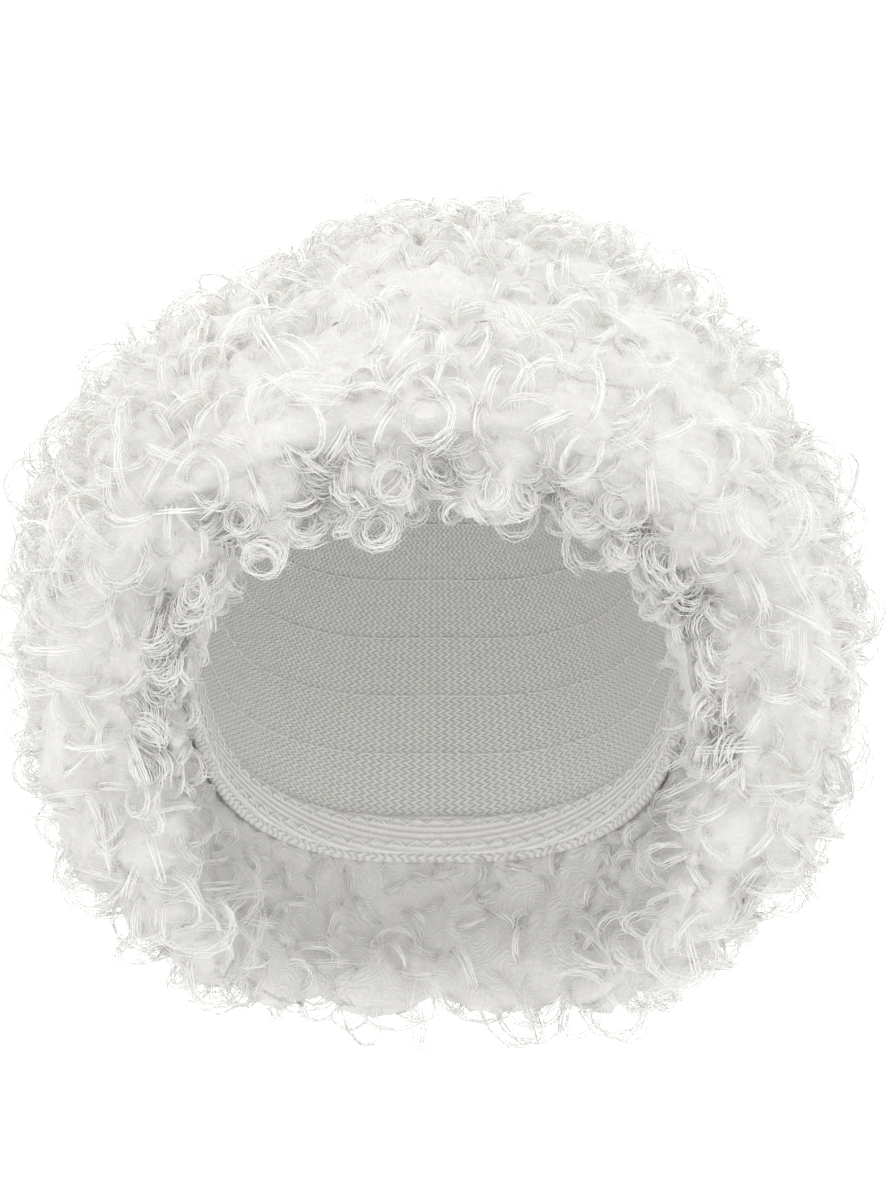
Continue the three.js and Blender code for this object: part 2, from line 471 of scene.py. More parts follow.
def new_material(name, roughness):
    """A material with its writer and its Principled shader."""
    material = bpy.data.materials.new(name)
    material.use_nodes = True
    material.node_tree.nodes.clear()
    writer = NodeWriter(material.node_tree)
    shader = writer.add("ShaderNodeBsdfPrincipled", {"Roughness": roughness})
    writer.add("ShaderNodeOutputMaterial", {"Surface": shader.outputs[0]})
    return material, writer, shader


def paint(writer, shader, share, first, second):
    """Gives a shader a base colour between two, by share."""
    mix = writer.add("ShaderNodeMix", data_type="RGBA")
    writer.put(mix.inputs["Factor"], share)
    for name, value in (("A", first), ("B", second)):
        writer.put([s for s in mix.inputs if s.name == name and s.type == "RGBA"][0], value)
    writer.put(shader.inputs["Base Color"], [s for s in mix.outputs if s.type == "RGBA"][0])


def roughen(writer, shader, height, strength, distance):
    """Gives a shader a bump of that height."""
    relief = {"Height": height, "Strength": strength, "Distance": distance}
    writer.put(shader.inputs["Normal"], writer.add("ShaderNodeBump", relief).outputs[0])


def darker(colour, share):
    """A colour with its channels times a share, used for painted shade."""
    return tuple(share * channel for channel in colour[:3]) + (1,)


def fibre_material(settings):
    """Springy synthetic fibre, each one a little brighter or duller than the next."""
    material, writer, shader = new_material("curl fibre", 0.42)
    shade = writer.add("ShaderNodeAttribute", attribute_name="shade").outputs["Fac"]
    place = writer.add("ShaderNodeTexCoord").outputs["Object"]
    patches = writer.noise(place, 30.0, 3.0)
    share = writer.math("MULTIPLY_ADD", patches.outputs[0], 0.6, writer.math("MULTIPLY", shade, 0.7))
    share = writer.math("SUBTRACT", share, 0.15)
    clamped = writer.add("ShaderNodeClamp", {"Value": share}).outputs[0]
    paint(writer, shader, clamped, tuple(settings.dull), tuple(settings.bright))
    shader.inputs["Sheen Weight"].default_value = 0.25
    shader.inputs["Sheen Roughness"].default_value = 0.4
    return material


def fluff_material(settings):
    """The mass of crossing fibres inside a lock, with the fine lines of small curls, in colours of
    painted shade that are darker than the fibres.
    """
    material, writer, shader = new_material("curl fluff in painted shade", 0.6)
    place = writer.add("ShaderNodeTexCoord").outputs["Object"]
    stirred = writer.vector("ADD", place, writer.stray(place, 90.0, 3.0, 0.012))
    cells = writer.add("ShaderNodeTexVoronoi", {"Vector": stirred, "Scale": 85.0})
    rings = writer.math("SINE", writer.math("MULTIPLY", cells.outputs["Distance"], 60.0))
    fine = writer.noise(stirred, 700.0, 3.0)
    height = writer.math("MULTIPLY_ADD", rings, 0.35, fine.outputs[0])
    roughen(writer, shader, height, 0.4, 0.0007)
    patches = writer.noise(place, 40.0, 4.0)
    lines = writer.math("MULTIPLY_ADD", rings, 0.1, patches.outputs[0])
    # Both colours are painted shade: the fluff colour and the dull fibre colour darkened stand for the
    # shade among the fibres. The mix between them varies with the noise patches, and a little with the
    # curl lines.
    paint(writer, shader, lines, tuple(settings.fluff), darker(settings.dull, 0.84))
    shader.inputs["Sheen Weight"].default_value = 0.2
    return material


def sewn_corners(bm):
    """A row's corners that are sewn to the cap."""
    return [vert for vert in bm.verts if CAP_SURFACE.find_nearest(vert.co)[3] < SEWN]


def outer_faces(bm):
    """A row's faces that show outside, and those of its roots that hang free below the cap."""
    bm.normal_update()
    sewn = set(sewn_corners(bm))
    outside = []
    free = []
    for face in bm.faces:
        if sewn.isdisjoint(face.verts):
            from_head = (face.calc_center_median() - HEAD_CENTRE).normalized()
            (free if face.normal.dot(from_head) < -0.5 else outside).append(face)
    return outside, free


class PuffSkin:
    """The outside of all rows together, which shows how deep the seams and valleys lie in it."""

    def __init__(self):
        points = []
        normals = []
        free = []
        for node in ROW_NODES:
            bm = solid_copy(node)
            outside, hanging = outer_faces(bm)
            points.extend(face.calc_center_median()[:] for face in outside)
            normals.extend(face.normal[:] for face in outside)
            free.extend(face.calc_center_median()[:] for face in hanging)
            bm.free()
        self.points = np.array(points, dtype=np.float32)
        self.normals = np.array(normals, dtype=np.float32)
        self.free = np.array(free, dtype=np.float32)

    @staticmethod
    def squares(places, points):
        """Squared distances from each place to each point."""
        cross = places @ points.T
        return (places**2).sum(1)[:, None] + (points**2).sum(1)[None] - 2 * cross

    def lifts(self, places, share):
        """The way out at each place, and the move that fills that share of its hollow."""
        moves = []
        ways = []
        for start in range(0, len(places), BATCH):
            here = places[start : start + BATCH].astype(np.float32)
            squares = self.squares(here, self.points)
            broad = np.exp(-squares / (2 * WAY_REACH**2))
            out = broad @ self.normals
            out /= np.linalg.norm(out, axis=1)[:, None]
            height = out @ self.points.T - (out * here).sum(1)[:, None]
            weight = np.exp(-squares / (2 * TOP_REACH**2) + height / TOP_STEP)
            top = (weight * height).sum(1) / weight.sum(1)
            away = np.sqrt(self.squares(here, self.free).min(1).clip(0))
            fade = ((away - FILL_START) / FILL_FADE).clip(0, 1)
            moves.append(out * (top.clip(0) * share * fade)[:, None])
            ways.append(out)
        return np.concatenate(ways), np.concatenate(moves)


def near_tree(places):
    """A tree that finds the nearest of some places."""
    tree = KDTree(len(places))
    for index, place in enumerate(places):
        tree.insert(place, index)
    tree.balance()
    return tree


def hair_edge():
    """Corners of the last row along its lower edge, where it meets the head, in order round it."""
    bm = solid_copy(ROW_NODES[-1])
    outside, free = outer_faces(bm)
    edge = {v for face in outside for v in face.verts} & {v for face in free for v in face.verts}
    places = sorted((vert.co.copy() for vert in edge), key=whorl_turn)
    bm.free()
    return places


def hang_fringe(verts, settings):
    """Lets the last row's lower edge hang lower over the brow."""
    edge = near_tree(hair_edge())
    above = surface_of(ROW_NODES[-2])
    for vert in verts:
        near = 1 - edge.find(vert.co)[2] / settings.fringe_depth
        front = (settings.fringe_end - vert.co.y) / settings.fringe_depth
        below = above.find_nearest(vert.co)[3] * 2 / settings.fringe_depth - FRINGE_START
        share = max(near, 0) * min(max(front, 0), 1) * min(max(below, 0), 1)
        vert.co += FRINGE_WAY * settings.fringe_drop * share


def tuck_roots(verts, settings):
    """Draws the hair that hangs free below the cap's rim in under it."""
    for vert in verts:
        rim, _, _, distance = CAP_SURFACE.find_nearest(vert.co)
        share = 1 - distance / settings.tuck_reach
        if share > 0 and whorl_down(vert.co) > whorl_down(rim) + SLIGHT:
            vert.co += (HEAD_CENTRE - vert.co).normalized() * settings.tuck * min(share * 2, 1)


def lock_fluff(node, skin, settings):
    """The fluffy mass of a row: its solid with its outer faces cut finer, softened and tufted."""
    bm = solid_copy(node)
    mark = bm.faces.layers.int.new("skin")
    size = bm.verts.layers.float.new("size")
    cover = bm.verts.layers.float.new("cover")
    outside, free = outer_faces(bm)
    for face in outside:
        face[mark] = OUTSIDE
    for face in free:
        face[mark] = FREE_ROOT
    edges = list({edge for face in outside + free for edge in face.edges})
    bmesh.ops.subdivide_edges(bm, edges=edges, cuts=FLUFF_CUTS, use_grid_fill=True)
    bmesh.ops.triangulate(bm, faces=bm.faces)
    inside = [v for v in bm.verts if all(face[mark] for face in v.link_faces)]
    for _ in range(FLUFF_SOFTENINGS):
        bmesh.ops.smooth_vert(
            bm, verts=inside, factor=0.5, use_axis_x=True, use_axis_y=True, use_axis_z=True
        )
    shown = [v for v in bm.verts if any(face[mark] for face in v.link_faces)]
    ways, lifts = skin.lifts(np.array([v.co[:] for v in shown]), settings.fill)
    for vert, lift in zip(shown, lifts):
        vert.co += Vector(lift.tolist())
    bm.normal_update()
    inside = set(inside)
    moves = []
    for vert, way in zip(shown, ways):
        tufts = abs(noise.fractal(vert.co * TUFTS_IN_METRE, 1, 2, 3)) * settings.tuft * 2
        if any(face[mark] == FREE_ROOT for face in vert.link_faces):
            moves.append(vert.normal * tufts * (vert in inside))
            continue
        clumps = noise.noise(vert.co * CLUMPS_IN_METRE) * settings.clump
        move = Vector(way.tolist()) * (tufts + clumps - settings.sink)
        if vert not in inside:
            around = [face.calc_center_median() for face in vert.link_faces if face[mark]]
            away = vert.co - sum(around, Vector()) / len(around)
            move += away.normalized() * settings.seam - Vector(way.tolist()) * settings.seam_dip
        moves.append(move)
    for vert, move in zip(shown, moves):
        vert.co += move
    if node == ROW_NODES[-1]:
        tuck_roots(bm.verts, settings)
        hang_fringe(shown, settings)
    seams = near_tree([vert.co for vert in shown if vert not in inside])
    for vert in bm.verts:
        from_cap = CAP_SURFACE.find_nearest(vert.co)[3]
        vert[size] = min(max(from_cap / settings.near_face, settings.small), 1)
        vert[cover] = 1 if seams.find(vert.co)[2] < settings.seam_reach else settings.thin
    return mesh_of(bm, node)


def tube(w, curve, sides, width, **extra):
    """A tube along a curve, with closed ends."""
    ring = {"Resolution": sides, "Radius": w.math("MULTIPLY", width, 0.5)}
    section = w.add("GeometryNodeCurvePrimitiveCircle", ring).outputs[0]
    form = {"Curve": curve, "Profile Curve": section, "Fill Caps": True, **extra}
    return w.add("GeometryNodeCurveToMesh", form).outputs[0]


def real_copies(w, points, instance, rotation, size):
    """Copies of an instance, one at each point, made real."""
    copies = {"Points": points, "Instance": instance, "Rotation": rotation, "Scale": size}
    placed = w.add("GeometryNodeInstanceOnPoints", copies)
    return w.add("GeometryNodeRealizeInstances", {"Geometry": placed.outputs[0]}).outputs[0]


def fibre_bundles(w, given, points, reach, spiral):
    """Tubes of fibre, a bundle at each point, along a spiral turned and sized as the point says."""
    copies = w.add(
        "GeometryNodeDuplicateElements",
        {"Geometry": points, "Amount": given["Fibres"]},
        domain="POINT",
    )
    shade = w.math("MULTIPLY", w.named("tone"), w.any_float(0.6, 1, seed=6))
    fibres = w.store(copies.outputs["Geometry"], "shade", shade)
    wobble = w.any_vector((-0.1, -0.1, -0.3), (0.1, 0.1, 0.3), seed=7)
    phase = w.combine(Z=w.named("phase"))
    spin = w.vector("ADD", wobble, phase)
    turned = w.rotated(w.named("turn", "QUATERNION"), spin)
    length = w.math("MULTIPLY", reach, w.any_float(0.86, 1.06, seed=8))
    oval = w.math("MULTIPLY", length, w.any_float(0.9, 1.1, seed=9))
    spread = w.any_vector((-0.0011,) * 3, (0.0011,) * 3, seed=10)
    moved = w.add("GeometryNodeSetPosition", {"Geometry": fibres, "Offset": spread})
    size = w.combine(X=length, Y=oval, Z=length)
    loose = real_copies(w, moved.outputs[0], spiral, turned, size)
    shift = w.stray(w.position(), 55.0, 1.0, given["Stir"])
    bent = w.add("GeometryNodeSetPosition", {"Geometry": loose, "Offset": shift})
    along = w.add("GeometryNodeSplineParameter").outputs["Factor"]
    from_middle = w.math("ABSOLUTE", w.math("MULTIPLY_ADD", along, 2.0, -1.0))
    taper = w.math("SUBTRACT", 1.0, w.math("MULTIPLY", w.math("POWER", from_middle, 4.0), 0.6))
    return tube(w, bent.outputs[0], 3, given["Width"], Scale=taper)


BUNDLE_SOCKETS = [
    ("Fibres", "NodeSocketInt"),
    ("Radius", "NodeSocketFloat"),
    ("Turns", "NodeSocketFloat"),
    ("Pitch", "NodeSocketFloat"),
    ("Width", "NodeSocketFloat"),
    ("Stir", "NodeSocketFloat"),
    ("Seed", "NodeSocketInt"),
    ("Fibre", "NodeSocketMaterial"),
]


def spiral_of(w, given, end_share):
    """The spiral that a curl's fibres follow."""
    spiral = w.add(
        "GeometryNodeCurveSpiral",
        {
            "Resolution": 9,
            "Rotations": given["Turns"],
            "Start Radius": given["Radius"],
            "End Radius": w.math("MULTIPLY", given["Radius"], end_share),
            "Height": given["Pitch"],
        },
    )
    return spiral.outputs[0]


def dress_tree(w, given, geometry):
    """Ends a tree with realized instances, whose fibres get their material."""
    real = w.add("GeometryNodeRealizeInstances", {"Geometry": geometry})
    is_fibre = w.add(
        "FunctionNodeCompare",
        {0: w.named("shade"), 1: 0.0},
        data_type="FLOAT",
        operation="GREATER_THAN",
    )
    dressed = w.add(
        "GeometryNodeSetMaterial",
        {"Geometry": real.outputs[0], "Selection": is_fibre.outputs[0], "Material": given["Fibre"]},
    )
    w.add("NodeGroupOutput", {"Geometry": dressed.outputs[0]})


def curl_tree():
    """Lays springy curls on the outer faces of a row, each a few fibres side by side."""
    tree, w, start = geometry_tree(
        "Curls on a row", [("Spacing", "NodeSocketFloat")] + BUNDLE_SOCKETS
    )
    given = start.outputs
    roots = w.add(
        "GeometryNodeDistributePointsOnFaces",
        {
            "Mesh": given["Geometry"],
            "Selection": w.named("skin", "INT"),
            "Distance Min": given["Spacing"],
            "Density Factor": w.named("cover"),
            "Density Max": 40000.0,
            "Seed": given["Seed"],
        },
        distribute_method="POISSON",
    )
    lean = w.any_float(math.radians(50), math.radians(130), seed=1)
    heading = w.any_float(0, math.tau, seed=2)
    tipped = w.combine(X=lean, Z=heading)
    turn = w.rotated(roots.outputs["Rotation"], tipped)
    bare = w.add("GeometryNodeRemoveAttribute", {"Geometry": roots.outputs["Points"], "Name": "skin"})
    points = w.store(bare.outputs[0], "turn", turn, "QUATERNION")
    points = w.store(points, "phase", w.any_float(0, math.tau, seed=3))
    points = w.store(points, "tone", w.any_float(0.1, 1, seed=5))
    clumps = w.noise(w.position(), 32.0, 1.0)
    clumped = w.math("MULTIPLY_ADD", clumps.outputs[0], 1.3, 0.35)
    reach = w.math("MULTIPLY", w.any_float(0.6, 1.1, seed=4), w.math("MINIMUM", clumped, 1.3))
    points = w.store(points, "reach", w.math("MULTIPLY", reach, w.named("size")))
    tubes = fibre_bundles(w, given, points, w.named("reach"), spiral_of(w, given, 0.72))
    both = w.add("GeometryNodeJoinGeometry")
    w.tree.links.new(given["Geometry"], both.inputs[0])
    w.tree.links.new(tubes, both.inputs[0])
    dress_tree(w, given, both.outputs[0])
    return tree


def ringlet_tree():
    """Hangs a ringlet at each point, along the way that the point gives."""
    tree, w, start = geometry_tree("Ringlets", BUNDLE_SOCKETS)
    given = start.outputs
    points = w.add("GeometryNodeMeshToPoints", {"Mesh": given["Geometry"]}).outputs[0]
    turn = w.add(
        "FunctionNodeAlignRotationToVector",
        {"Vector": w.named("way", "FLOAT_VECTOR")},
        axis="Z",
    )
    points = w.store(points, "turn", turn.outputs[0], "QUATERNION")
    points = w.store(points, "phase", w.any_float(0, math.tau, seed=3))
    points = w.store(points, "tone", w.any_float(0.1, 1, seed=5))
    points = w.store(points, "reach", w.any_float(0.7, 1.2, seed=4))
    tubes = fibre_bundles(w, given, points, w.named("reach"), spiral_of(w, given, 0.85))
    dress_tree(w, given, tubes)
    return tree


def bundle_values(settings, fibre):
    """The values that all bundles of fibres share."""
    return {
        "Fibres": settings.fibres,
        "Radius": settings.loop_radius,
        "Turns": settings.loop_turns,
        "Pitch": settings.loop_pitch,
        "Width": settings.fibre_width,
        "Stir": settings.stir,
        "Seed": settings.seed,
        "Fibre": fibre,
    }


class WIG_OT_curls(bpy.types.Operator):
    """Makes each row of locks: fluff inside, and springy curls all over it"""

    bl_idname = "wig.curls"
    bl_label = "Rows of curls"

    def execute(self, context):
        settings = context.scene.wig_curls
        fluff = fluff_material(settings)
        values = bundle_values(settings, fibre_material(settings))
        tree = curl_tree()
        skin = PuffSkin()
        values["Spacing"] = settings.spacing
        for count, node in enumerate(ROW_NODES):
            row = new_object(f"springy_{node}", lock_fluff(node, skin, settings))
            row.data.materials.append(fluff)
            values["Seed"] = settings.seed + count
            run_tree(row, tree, values)
            smooth_skin(row.data)
            finish_piece(row, "curls", node)
        return {"FINISHED"}


class WIG_OT_ringlets(bpy.types.Operator):
    """Hangs small ringlets along the hair's edge over the brow and temples"""

    bl_idname = "wig.ringlets"
    bl_label = "Fringe ringlets"

    def execute(self, context):
        settings = context.scene.wig_curls
        chance = np.random.default_rng(settings.seed)
        places = []
        ways = []
        edge = hair_edge()
        for here, there in zip(edge, edge[1:] + edge[:1]):
            if here.y > settings.fringe_end:
                continue
            out = (here - HEAD_CENTRE).normalized()
            for _ in range(settings.ringlets):
                place = here.lerp(there, chance.uniform()) + out * chance.uniform(*RINGLET_OFF)
                place.z -= settings.ringlet_drop * chance.uniform(*RINGLET_FALL)
                spread = Vector(chance.uniform(*RINGLET_LEAN, 3).tolist())
                places.append(place)
                ways.append((out + spread).normalized())
        mesh = bpy.data.meshes.new("fringe_ringlets")
        mesh.from_pydata(places, [], [])
        layer = mesh.attributes.new("way", "FLOAT_VECTOR", "POINT")
        layer.data.foreach_set("vector", [value for way in ways for value in way])
        ringlets = new_object("fringe_ringlets", mesh)
        values = bundle_values(settings, bpy.data.materials["curl fibre"])
        values["Radius"] = settings.ringlet_radius
        values["Turns"] = settings.ringlet_turns
        values["Pitch"] = settings.ringlet_radius
        run_tree(ringlets, ringlet_tree(), values)
        smooth_faces(ringlets.data)
        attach(ringlets, BODY)
        return {"FINISHED"}


def whorl_turn(point):
    """The turn round the whorl at which a point lies, from the brow."""
    away = point - HEAD_CENTRE
    return math.atan2(away.dot(WHORL_SIDE), away.dot(WHORL_FRONT))


def whorl_down(point):
    """The angle down from the whorl at which a point lies."""
    return (point - HEAD_CENTRE).angle(WHORL_AXIS)


def whorl_way(turn, down):
    """The direction at a turn round the whorl and an angle down from it."""
    level = WHORL_FRONT * math.cos(turn) + WHORL_SIDE * math.sin(turn)
    return level * math.sin(down) + WHORL_AXIS * math.cos(down)


def wrap_uv(mesh, pitch):
    """Gives a mesh a UV map in steps of a pitch: round the whorl, a whole number, and down."""
    layer = mesh.uv_layers.new(name="wrap")
    rounds = round(math.tau * HEAD_RADIUS / pitch)
    for polygon in mesh.polygons:
        places = [mesh.vertices[i].co for i in polygon.vertices]
        turns = [whorl_turn(place) / math.tau for place in places]
        crossing = max(turns) - min(turns) > 0.5
        for loop, turn, place in zip(polygon.loop_indices, turns, places):
            down = whorl_down(place) * HEAD_RADIUS / pitch
            layer.data[loop].uv = ((turn + (crossing and turn < 0)) * rounds, down)


def knit_material(settings):
    """Fine knitting: columns of small loops, seen from either side of the cap, with painted shade in
    the grooves between the loops.
    """
    material, writer, shader = new_material("knitted cap", 0.85)
    uv = writer.add("ShaderNodeUVMap", uv_map="wrap").outputs[0]
    parts = writer.add("ShaderNodeSeparateXYZ", {"Vector": uv})
    columns = writer.math("MULTIPLY", parts.outputs["X"], math.pi)
    courses = writer.math("MULTIPLY", parts.outputs["Y"], math.tau * 1.3)
    slant = writer.math("MULTIPLY", writer.math("SINE", courses), 0.9)
    loops = writer.math("ABSOLUTE", writer.math("SINE", writer.math("ADD", columns, slant)))
    place = writer.add("ShaderNodeTexCoord").outputs["Object"]
    lint = writer.noise(place, 900.0, 2.0)
    height = writer.math("MULTIPLY_ADD", lint.outputs[0], 0.4, loops)
    roughen(writer, shader, height, 0.8, 0.0006)
    # Painted shade: the colour is darker where the loops' bump lies low, in the grooves between them.
    share = writer.math("POWER", loops, 0.5)
    paint(writer, shader, share, darker(settings.knit, 0.72), tuple(settings.knit))
    shader.inputs["Sheen Weight"].default_value = 0.3
    return material


def joined_copy(node, name):
    """A new piece from a node's solid, with its triangles joined to flat facets."""
    bm = solid_copy(node)
    bmesh.ops.join_triangles(
        bm, faces=bm.faces, angle_face_threshold=FLAT, angle_shape_threshold=math.pi
    )
    return new_object(name, mesh_of(bm, name))


def round_off(obj):
    """Rounds a piece, after any other modifier, and shades it smoothly."""
    rounding = obj.modifiers.new("rounding", "SUBSURF")
    rounding.levels = 2
    rounding.render_levels = 2
    keep_result(obj)
    smooth_faces(obj.data)


class WIG_OT_cap(bpy.types.Operator):
    """Makes the knitted stretch cap"""

    bl_idname = "wig.cap"
    bl_label = "Knitted cap"

    def execute(self, context):
        settings = context.scene.wig_cap
        cap = joined_copy(CAP_NODE, "knitted_cap")
        round_off(cap)
        wrap_uv(cap.data, settings.knit_pitch)
        cap.data.materials.append(knit_material(settings))
        finish_piece(cap, "knit", CAP_NODE)
        return {"FINISHED"}


class WIG_OT_hem(bpy.types.Operator):
    """Makes the rolled hem along the cap's rim"""

    bl_idname = "wig.hem"
    bl_label = "Rolled hem"

    def execute(self, context):
        settings = context.scene.wig_cap
        columns = by_column([Vector(corner) for corner in corners(CAP_NODE)], CAP_COLUMNS)
        path = bpy.data.curves.new("rolled_hem", "CURVE")
        path.dimensions = "3D"
        path.bevel_depth = settings.hem
        path.bevel_resolution = 2
        path.resolution_u = 4
        spline = path.splines.new("NURBS")
        spline.points.add(len(columns) - 1)
        for point, (turn, downs) in zip(spline.points, columns):
            way = whorl_way(turn, downs[-1])
            inside = CAP_SURFACE.ray_cast(HEAD_CENTRE, whorl_way(turn, downs[-1] - SLIGHT))[0]
            reach = (inside - HEAD_CENTRE).length + settings.hem * HEM_STAND
            point.co = (HEAD_CENTRE + way * reach)[:] + (1,)
        spline.use_cyclic_u = True
        spline.order_u = 3
        hem = bpy.data.objects.new("rolled_hem", path)
        context.scene.collection.objects.link(hem)
        evaluated = hem.evaluated_get(context.evaluated_depsgraph_get())
        mesh = bpy.data.meshes.new_from_object(evaluated)
        bpy.data.objects.remove(hem)
        hem = new_object("rolled_hem", mesh)
        wrap_uv(mesh, settings.knit_pitch)
        smooth_faces(mesh)
        mesh.materials.clear()
        mesh.materials.append(bpy.data.materials["knitted cap"])
        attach(hem, BODY)
        return {"FINISHED"}


def elastic_material(settings):
    """Woven elastic with fine ribs along the band, with painted shade in the grooves between the ribs.
    """
    material, writer, shader = new_material("woven elastic", 0.7)
    uv = writer.add("ShaderNodeUVMap", uv_map="wrap").outputs[0]
    parts = writer.add("ShaderNodeSeparateXYZ", {"Vector": uv})
    ribs = writer.math("SINE", writer.math("MULTIPLY", parts.outputs["Y"], math.tau))
    picks = writer.math("SINE", writer.math("MULTIPLY", parts.outputs["X"], math.tau * 1.5))
    height = writer.math("MULTIPLY_ADD", picks, 0.3, ribs)
    roughen(writer, shader, height, 0.6, 0.0003)
    # Painted shade: the colour is darker in the grooves between the ribs, where their bump lies low.
    share = writer.math("MULTIPLY_ADD", ribs, 0.5, 0.5)
    paint(writer, shader, share, darker(settings.elastic, 0.85), tuple(settings.elastic))
    return material


class WIG_OT_band(bpy.types.Operator):
    """Makes the flat elastic band inside the cap's rim"""

    bl_idname = "wig.band"
    bl_label = "Elastic band"

    def execute(self, context):
        settings = context.scene.wig_cap
        band = joined_copy(BAND_NODE, "elastic_band")
        edges = band.modifiers.new("soft edges", "BEVEL")
        edges.width = BAND_EDGE
        edges.segments = 2
        round_off(band)
        wrap_uv(band.data, settings.rib_pitch)
        band.data.materials.append(elastic_material(settings))
        finish_piece(band, "elastic", BAND_NODE)
        return {"FINISHED"}


def stitch_tree():
    """Lays one stitch of thread at each point, along it and bowed out of the cloth."""
    tree, w, start = geometry_tree(
        "Stitches",
        [
            ("Thread", "NodeSocketFloat"),
            ("Bow", "NodeSocketFloat"),
            ("Finish", "NodeSocketMaterial"),
        ],
    )
    given = start.outputs
    points = w.add("GeometryNodeMeshToPoints", {"Mesh": given["Geometry"]}).outputs[0]
    lengthwise = w.add(
        "FunctionNodeAlignRotationToVector",
        {"Vector": w.named("along", "FLOAT_VECTOR")},
        axis="X",
    )
    upright = w.add(
        "FunctionNodeAlignRotationToVector",
        {"Rotation": lengthwise.outputs[0], "Vector": w.named("out", "FLOAT_VECTOR")},
        axis="Z",
        pivot_axis="X",
    )
    bow = w.combine(Z=given["Bow"])
    line = w.add(
        "GeometryNodeCurveQuadraticBezier",
        {"Resolution": 4, "Start": (-0.5, 0, 0), "Middle": bow, "End": (0.5, 0, 0)},
    )
    stitch = tube(w, line.outputs[0], 5, given["Thread"])
    size = w.combine(X=w.named("length"), Y=1.0, Z=1.0)
    real = real_copies(w, points, stitch, upright.outputs[0], size)
    finish = w.add("GeometryNodeSetMaterial", {"Geometry": real, "Material": given["Finish"]})
    w.add("NodeGroupOutput", {"Geometry": finish.outputs[0]})
    return tree


def thread_material():
    """Plain white sewing thread, twisted, with painted shade in the grooves of the twist."""
    material, writer, shader = new_material("sewing thread", 0.5)
    place = writer.add("ShaderNodeTexCoord").outputs["Object"]
    twist = writer.add(
        "ShaderNodeTexWave",
        {"Vector": place, "Scale": 500.0, "Distortion": 1.0},
        bands_direction="DIAGONAL",
    )
    roughen(writer, shader, twist.outputs["Fac"], 0.5, 0.0001)
    # Painted shade: the thread is darker in the grooves of its twist, where the bump lies low.
    paint(writer, shader, twist.outputs["Fac"], (0.82, 0.81, 0.79, 1), (0.95, 0.945, 0.93, 1))
    return material


def sew(name, lines, settings):
    """Makes one piece of all the stitches along some lines, each a list of stitches' two ends."""
    places, along, out, length = [], [], [], []
    for line in lines:
        for first, last in line:
            middle = (first + last) / 2
            inwards = (HEAD_CENTRE - middle).normalized()
            places.append(middle + inwards * settings.thread * THREAD_DEPTH)
            along.extend((last - first).normalized())
            out.extend(inwards)
            length.append((last - first).length)
    mesh = bpy.data.meshes.new(name)
    mesh.from_pydata(places, [], [])
    for label, kind, key, values in (
        ("along", "FLOAT_VECTOR", "vector", along),
        ("out", "FLOAT_VECTOR", "vector", out),
        ("length", "FLOAT", "value", length),
    ):
        mesh.attributes.new(label, kind, "POINT").data.foreach_set(key, values)
    stitches = new_object(name, mesh)
    finish = bpy.data.materials.get("sewing thread") or thread_material()
    tree = bpy.data.node_groups.get("Stitches") or stitch_tree()
    run_tree(stitches, tree, {"Thread": settings.thread, "Bow": settings.thread, "Finish": finish})
    smooth_faces(stitches.data)
    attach(stitches, BODY)


def inner_surface(obj):
    """A function that finds the point of a piece's inside that lies at a direction."""
    mesh = obj.data
    tree = BVHTree.FromPolygons(
        [vert.co for vert in mesh.vertices], [polygon.vertices for polygon in mesh.polygons]
    )
    return lambda way: tree.ray_cast(HEAD_CENTRE, way)[0]


def split_line(places, step, length):
    """Ends of the stitches along a closed line of places."""
    ring = places + places[:1]
    spans = [(b - a).length for a, b in zip(ring, ring[1:])]
    ends = np.concatenate([[0], np.cumsum(spans)])
    count = round(ends[-1] / step)
    coordinates = np.array([place[:] for place in ring])

    def at(distance):
        reached = distance % ends[-1]
        return Vector([float(np.interp(reached, ends, coordinates[:, i])) for i in range(3)])

    starts = [ends[-1] * k / count for k in range(count)]
    return [(at(start), at(start + length)) for start in starts]


def by_column(places, count):
    """The angles down from the whorl in each of the columns round it, in order."""
    columns = {}
    for place in places:
        column = round(whorl_turn(place) / math.tau * count) % count
        columns.setdefault(column, []).append(whorl_down(place))
    return [(column * math.tau / count, sorted(columns[column])) for column in sorted(columns)]


class WIG_OT_stitches(bpy.types.Operator):
    """Sews the rows to the cap and the elastic band inside its rim"""

    bl_idname = "wig.stitches"
    bl_label = "Stitches"

    def execute(self, context):
        settings = context.scene.wig_cap
        on_cap = inner_surface(bpy.data.objects["knitted_cap"])
        lines = []
        for node in ROW_NODES[1:]:
            bm = solid_copy(node)
            sewn = [vert.co.copy() for vert in sewn_corners(bm)]
            bm.free()
            columns = by_column(sewn, ROW_COLUMNS)
            top = [on_cap(whorl_way(turn, downs[0])) for turn, downs in columns]
            lines.append(split_line(top, settings.stitch_length * STITCH_STEP, settings.stitch_length))
        sew("row_stitches", lines, settings)

        on_band = inner_surface(bpy.data.objects["elastic_band"])
        columns = by_column([Vector(corner) for corner in corners(BAND_NODE)], CAP_COLUMNS)
        steps = [turn for turn, downs in columns]
        upper = [downs[0] for turn, downs in columns]
        lower = [downs[-1] for turn, downs in columns]
        count = 2 * round(math.pi * HEAD_RADIUS / settings.zigzag)
        lines = []
        for share in ZIGZAG_LINES:
            places = []
            for k in range(count):
                turn = math.tau * k / count - math.pi
                high = float(np.interp(turn, steps, upper, period=math.tau))
                low = float(np.interp(turn, steps, lower, period=math.tau))
                side = share + (ZIGZAG_SWING if k % 2 else -ZIGZAG_SWING)
                places.append(on_band(whorl_way(turn, high + (low - high) * side)))
            ring = places + places[:1]
            lines.append([(a, b) for a, b in zip(ring, ring[1:]) if a and b])
        sew("band_zigzag", lines, settings)
        return {"FINISHED"}


